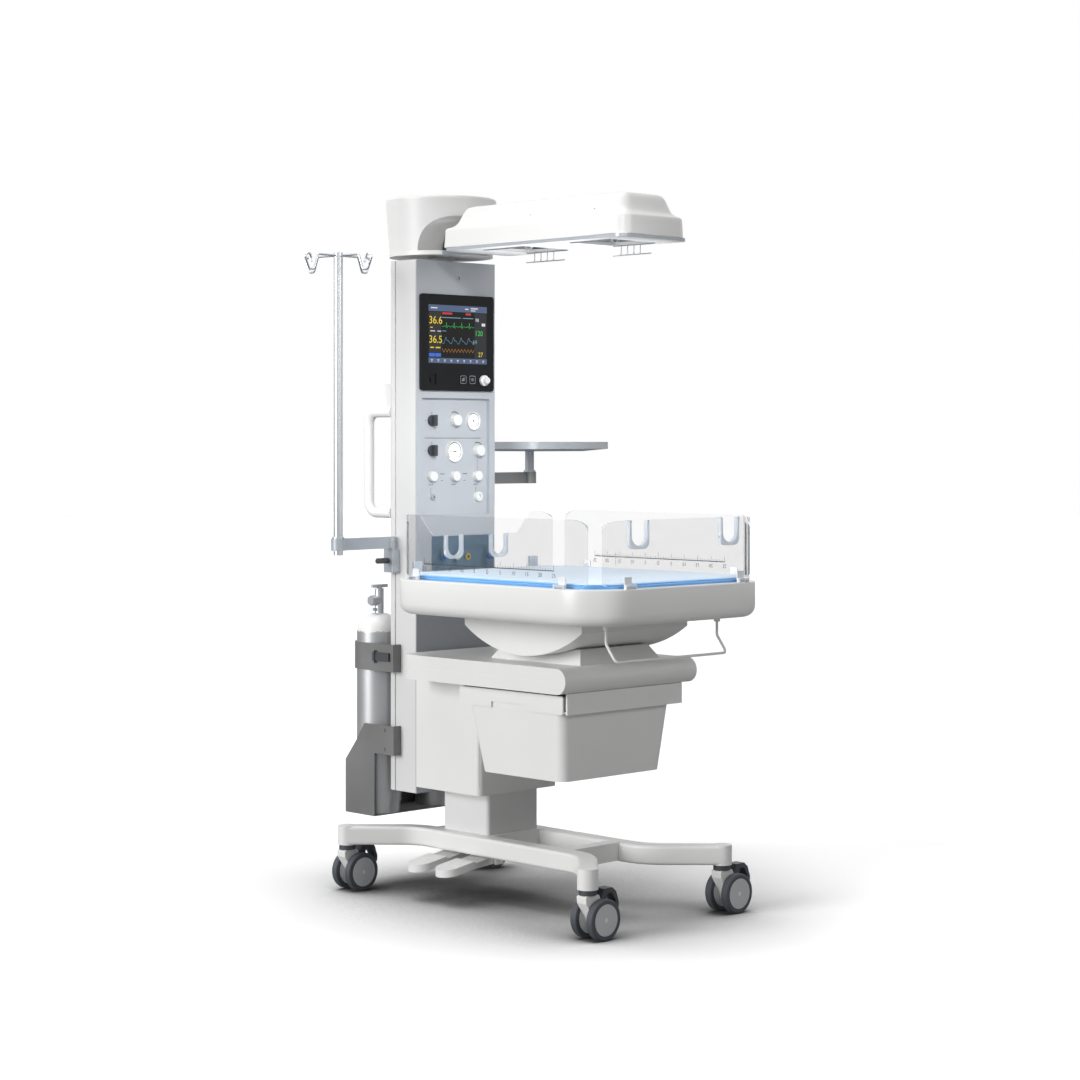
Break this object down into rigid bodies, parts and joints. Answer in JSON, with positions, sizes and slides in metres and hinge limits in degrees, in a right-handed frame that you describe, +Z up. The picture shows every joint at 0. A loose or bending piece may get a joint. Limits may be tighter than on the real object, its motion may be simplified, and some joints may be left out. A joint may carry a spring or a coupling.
{
  "type": "infant radiant warmer",
  "caption": "Wheeled infant warmer with swivelling heater hood, tilting bed with clear fold-down panels, lift column, monitor, gas panel, pole, shelf and gas cylinders",
  "frame": {"origin": "on the floor, at the middle of the bounding box", "axes": "+Z up, front of the warmer (foot of the bed) faces -Y, +X to the right"},
  "size_m": [1.04, 1.191, 1.985],
  "materials": {
    "frame_paint": "semi-gloss",
    "column_paint": "semi-gloss",
    "front_plastic": "satin",
    "white_plastic": "satin",
    "dark_plastic": "satin",
    "screen_black": "gloss",
    "gauge_white": "gloss",
    "tyre": "matt",
    "steel": "brushed",
    "brass": "satin",
    "cylinder_paint": "gloss",
    "mattress_fabric": "soft sheen",
    "clear": "clear",
    "grey_metal": "satin"
  },
  "bodies": {
    "base": {"base_frame": "frame_paint", "lift_post": "column_paint"},
    "raise_pedal": {"raise_pedal": "white_plastic"},
    "lower_pedal": {"lower_pedal": "white_plastic"},
    "carriage": {"lift_housing": "white_plastic", "column_body": "column_paint", "column_front": "front_plastic", "monitor_bezel": "screen_black", "gas_panel": "front_plastic", "pressure_gauges": "gauge_white", "push_handles": "column_paint", "table_slab": "white_plastic", "bed_pedestal": "white_plastic", "accessory_brackets": "white_plastic", "gas_cylinders": "cylinder_paint", "cylinder_brackets": "grey_metal"},
    "encoder": {"encoder_knob": "dark_plastic"},
    "mute_button": {"mute_button": "dark_plastic"},
    "menu_button": {"menu_button": "dark_plastic"},
    "upper_selector": {"upper_selector": "dark_plastic"},
    "lower_selector": {"lower_selector": "dark_plastic"},
    "upper_flow_knob": {"upper_flow_knob": "white_plastic"},
    "lower_flow_knob": {"lower_flow_knob": "white_plastic"},
    "left_row_knob": {"left_row_knob": "white_plastic"},
    "middle_row_knob": {"middle_row_knob": "white_plastic"},
    "right_row_knob": {"right_row_knob": "white_plastic"},
    "drawer": {"storage_drawer": "white_plastic"},
    "bed": {"bed_cradle": "white_plastic", "bed_tray": "white_plastic", "mattress": "mattress_fabric"},
    "left_panel": {"left_panel": "clear"},
    "right_panel": {"right_panel": "clear"},
    "front_panel": {"front_panel": "clear"},
    "rear_panel": {"rear_panel": "clear"},
    "release_bail": {"release_bail": "steel"},
    "pole_arm": {"pole_arm": "grey_metal"},
    "drip_pole": {"drip_pole": "steel"},
    "pole_knob": {"pole_knob": "dark_plastic"},
    "shelf_arm": {"shelf_arm": "grey_metal"},
    "monitor_shelf": {"monitor_shelf": "white_plastic"},
    "shelf_knob": {"shelf_knob": "dark_plastic"},
    "left_valve_handle": {"left_valve_handle": "dark_plastic"},
    "right_valve_handle": {"right_valve_handle": "dark_plastic"},
    "latch_lever": {"latch_lever": "dark_plastic"},
    "head": {"head_shell": "white_plastic", "hood_shell": "white_plastic", "hood_underframe": "front_plastic", "heater_guards": "steel"},
    "fork_front_left": {"caster_fork_front_left": "white_plastic"},
    "wheels_front_left": {"caster_wheels_front_left": "tyre"},
    "brake_front_left": {"caster_brake_front_left": "dark_plastic"},
    "fork_front_right": {"caster_fork_front_right": "white_plastic"},
    "wheels_front_right": {"caster_wheels_front_right": "tyre"},
    "brake_front_right": {"caster_brake_front_right": "dark_plastic"},
    "fork_rear_left": {"caster_fork_rear_left": "white_plastic"},
    "wheels_rear_left": {"caster_wheels_rear_left": "tyre"},
    "brake_rear_left": {"caster_brake_rear_left": "dark_plastic"},
    "fork_rear_right": {"caster_fork_rear_right": "white_plastic"},
    "wheels_rear_right": {"caster_wheels_rear_right": "tyre"},
    "brake_rear_right": {"caster_brake_rear_right": "dark_plastic"}
  },
  "joints": [
    {"name": "lift", "type": "slide", "parent": "base", "child": "carriage", "axis": [0, 0, 1], "range_m": [0, 0.2]},
    {"name": "raise_pedal_press", "type": "hinge", "parent": "base", "child": "raise_pedal", "pos_m": [-0.08498, 0.2295, 0.118], "axis": [0, 1, 0], "range_deg": [-8, 0], "stiffness_Nm_per_rad": 10, "springref_deg": 8.59},
    {"name": "lower_pedal_press", "type": "hinge", "parent": "base", "child": "lower_pedal", "pos_m": [-0.08498, 0.1145, 0.118], "axis": [0, 1, 0], "range_deg": [-8, 0], "stiffness_Nm_per_rad": 10, "springref_deg": 8.59},
    {"name": "swivel_front_left", "type": "hinge", "parent": "base", "child": "fork_front_left", "pos_m": [-0.28498, -0.4755, 0.119], "axis": [0, 0, 1], "continuous": true},
    {"name": "roll_front_left", "type": "hinge", "parent": "fork_front_left", "child": "wheels_front_left", "pos_m": [-0.25698, -0.4755, 0.0545], "axis": [0, 1, 0], "continuous": true},
    {"name": "brake_front_left", "type": "hinge", "parent": "fork_front_left", "child": "brake_front_left", "pos_m": [-0.24298, -0.4755, 0.1038], "axis": [0, 1, 0], "range_deg": [0, 12]},
    {"name": "swivel_front_right", "type": "hinge", "parent": "base", "child": "fork_front_right", "pos_m": [0.23502, -0.4755, 0.119], "axis": [0, 0, 1], "continuous": true},
    {"name": "roll_front_right", "type": "hinge", "parent": "fork_front_right", "child": "wheels_front_right", "pos_m": [0.26302, -0.4755, 0.0545], "axis": [0, 1, 0], "continuous": true},
    {"name": "brake_front_right", "type": "hinge", "parent": "fork_front_right", "child": "brake_front_right", "pos_m": [0.27702, -0.4755, 0.1038], "axis": [0, 1, 0], "range_deg": [0, 12]},
    {"name": "swivel_rear_left", "type": "hinge", "parent": "base", "child": "fork_rear_left", "pos_m": [-0.28498, 0.49, 0.119], "axis": [0, 0, 1], "continuous": true},
    {"name": "roll_rear_left", "type": "hinge", "parent": "fork_rear_left", "child": "wheels_rear_left", "pos_m": [-0.25698, 0.49, 0.0545], "axis": [0, 1, 0], "continuous": true},
    {"name": "brake_rear_left", "type": "hinge", "parent": "fork_rear_left", "child": "brake_rear_left", "pos_m": [-0.24298, 0.49, 0.1038], "axis": [0, 1, 0], "range_deg": [0, 12]},
    {"name": "swivel_rear_right", "type": "hinge", "parent": "base", "child": "fork_rear_right", "pos_m": [0.23502, 0.49, 0.119], "axis": [0, 0, 1], "continuous": true},
    {"name": "roll_rear_right", "type": "hinge", "parent": "fork_rear_right", "child": "wheels_rear_right", "pos_m": [0.26302, 0.49, 0.0545], "axis": [0, 1, 0], "continuous": true},
    {"name": "brake_rear_right", "type": "hinge", "parent": "fork_rear_right", "child": "brake_rear_right", "pos_m": [0.27702, 0.49, 0.1038], "axis": [0, 1, 0], "range_deg": [0, 12]},
    {"name": "encoder_turn", "type": "hinge", "parent": "carriage", "child": "encoder", "pos_m": [0.07502, 0.306, 1.4614], "axis": [0, -1, 0], "continuous": true},
    {"name": "mute_button_press", "type": "slide", "parent": "carriage", "child": "mute_button", "axis": [0, 1, 0], "range_m": [0, 0.0015], "stiffness_N_per_m": 300, "springref_m": -0.002},
    {"name": "menu_button_press", "type": "slide", "parent": "carriage", "child": "menu_button", "axis": [0, 1, 0], "range_m": [0, 0.0015], "stiffness_N_per_m": 300, "springref_m": -0.002},
    {"name": "upper_selector_turn", "type": "hinge", "parent": "carriage", "child": "upper_selector", "pos_m": [-0.10838, 0.326, 1.3444], "axis": [0, -1, 0], "range_deg": [0, 90]},
    {"name": "lower_selector_turn", "type": "hinge", "parent": "carriage", "child": "lower_selector", "pos_m": [-0.10838, 0.326, 1.2583], "axis": [0, -1, 0], "range_deg": [0, 90]},
    {"name": "upper_flow_knob_turn", "type": "hinge", "parent": "carriage", "child": "upper_flow_knob", "pos_m": [-0.02148, 0.326, 1.346], "axis": [0, -1, 0], "range_deg": [0, 270]},
    {"name": "lower_flow_knob_turn", "type": "hinge", "parent": "carriage", "child": "lower_flow_knob", "pos_m": [0.06902, 0.326, 1.258], "axis": [0, -1, 0], "range_deg": [0, 270]},
    {"name": "left_row_knob_turn", "type": "hinge", "parent": "carriage", "child": "left_row_knob", "pos_m": [-0.11198, 0.326, 1.1845], "axis": [0, -1, 0], "range_deg": [0, 270]},
    {"name": "middle_row_knob_turn", "type": "hinge", "parent": "carriage", "child": "middle_row_knob", "pos_m": [-0.02398, 0.326, 1.1845], "axis": [0, -1, 0], "range_deg": [0, 270]},
    {"name": "right_row_knob_turn", "type": "hinge", "parent": "carriage", "child": "right_row_knob", "pos_m": [0.06302, 0.326, 1.1845], "axis": [0, -1, 0], "range_deg": [0, 270]},
    {"name": "drawer_slide", "type": "slide", "parent": "carriage", "child": "drawer", "axis": [-1, 0, 0], "range_m": [0, 0.3]},
    {"name": "bed_tilt", "type": "hinge", "parent": "carriage", "child": "bed", "pos_m": [-0.02498, -0.1728, 1.107], "axis": [1, 0, 0], "range_deg": [-12, 12]},
    {"name": "left_panel_fold", "type": "hinge", "parent": "bed", "child": "left_panel", "pos_m": [-0.36748, -0.1728, 0.914], "axis": [0, -1, 0], "range_deg": [0, 180]},
    {"name": "right_panel_fold", "type": "hinge", "parent": "bed", "child": "right_panel", "pos_m": [0.31752, -0.1728, 0.914], "axis": [0, 1, 0], "range_deg": [0, 180]},
    {"name": "front_panel_fold", "type": "hinge", "parent": "bed", "child": "front_panel", "pos_m": [-0.02498, -0.588, 0.914], "axis": [1, 0, 0], "range_deg": [0, 180]},
    {"name": "rear_panel_lift", "type": "slide", "parent": "bed", "child": "rear_panel", "axis": [0, 0, 1], "range_m": [0, 0.1]},
    {"name": "bail_pull", "type": "slide", "parent": "bed", "child": "release_bail", "axis": [0, 0, 1], "range_m": [0, 0.008], "stiffness_N_per_m": 400, "springref_m": -0.004},
    {"name": "pole_arm_swing", "type": "hinge", "parent": "carriage", "child": "pole_arm", "pos_m": [-0.19298, 0.4045, 0.978], "axis": [0, 0, 1], "range_deg": [-60, 20]},
    {"name": "pole_turn", "type": "hinge", "parent": "pole_arm", "child": "drip_pole", "pos_m": [-0.38898, 0.4045, 1.012], "axis": [0, 0, 1], "continuous": true},
    {"name": "pole_knob_turn", "type": "hinge", "parent": "carriage", "child": "pole_knob", "pos_m": [-0.20598, 0.4045, 0.944], "axis": [-1, 0, 0], "range_deg": [0, 360]},
    {"name": "shelf_arm_swing", "type": "hinge", "parent": "carriage", "child": "shelf_arm", "pos_m": [0.14302, 0.4045, 1.158], "axis": [0, 0, 1], "range_deg": [-15, 15]},
    {"name": "shelf_turn", "type": "hinge", "parent": "shelf_arm", "child": "monitor_shelf", "pos_m": [0.35702, 0.4045, 1.192], "axis": [0, 0, 1], "range_deg": [-15, 15]},
    {"name": "shelf_knob_turn", "type": "hinge", "parent": "carriage", "child": "shelf_knob", "pos_m": [0.15602, 0.4045, 1.124], "axis": [1, 0, 0], "range_deg": [0, 360]},
    {"name": "left_valve_turn", "type": "hinge", "parent": "carriage", "child": "left_valve_handle", "pos_m": [-0.13598, 0.5245, 0.856], "axis": [0, 0, 1], "range_deg": [0, 360]},
    {"name": "right_valve_turn", "type": "hinge", "parent": "carriage", "child": "right_valve_handle", "pos_m": [0.08602, 0.5245, 0.856], "axis": [0, 0, 1], "range_deg": [0, 360]},
    {"name": "latch_open", "type": "hinge", "parent": "carriage", "child": "latch_lever", "pos_m": [-0.21268, 0.4585, 0.667], "axis": [0, 0, -1], "range_deg": [0, 100]},
    {"name": "head_swing", "type": "hinge", "parent": "carriage", "child": "head", "pos_m": [-0.02498, 0.3785, 1.816], "axis": [0, 0, 1], "range_deg": [-50, 90]}
  ]
}
